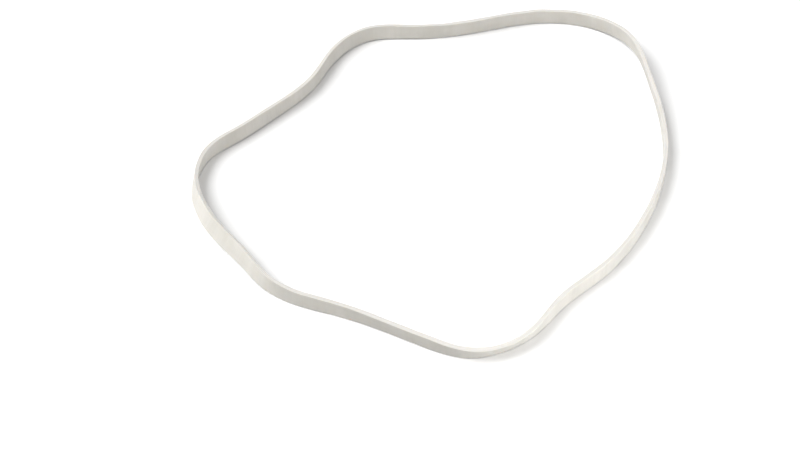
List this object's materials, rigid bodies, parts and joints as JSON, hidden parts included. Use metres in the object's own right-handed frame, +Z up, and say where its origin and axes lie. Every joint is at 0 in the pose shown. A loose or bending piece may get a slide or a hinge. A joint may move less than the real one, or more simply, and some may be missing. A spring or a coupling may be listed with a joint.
{
  "type": "rubber band",
  "caption": "Large flat rubber band, a closed loop of off-white rubber strip lying loosely on its cut edge, stretched round things to hold them together.",
  "frame": {"origin": "on the surface that the band lies on, under the middle of its bounding box", "axes": "+Z up, across the strip's width where it stands on edge; +Y along the loop's longer way, away from the picture's viewer; +X to the viewer's right"},
  "size_m": [0.1822, 0.2072, 0.0091],
  "materials": {
    "rubber": "matte off-white natural rubber with a dusted surface and knife-cut edges"
  },
  "bodies": {
    "root": {"rubber_band": "rubber"}
  },
  "joints": []
}
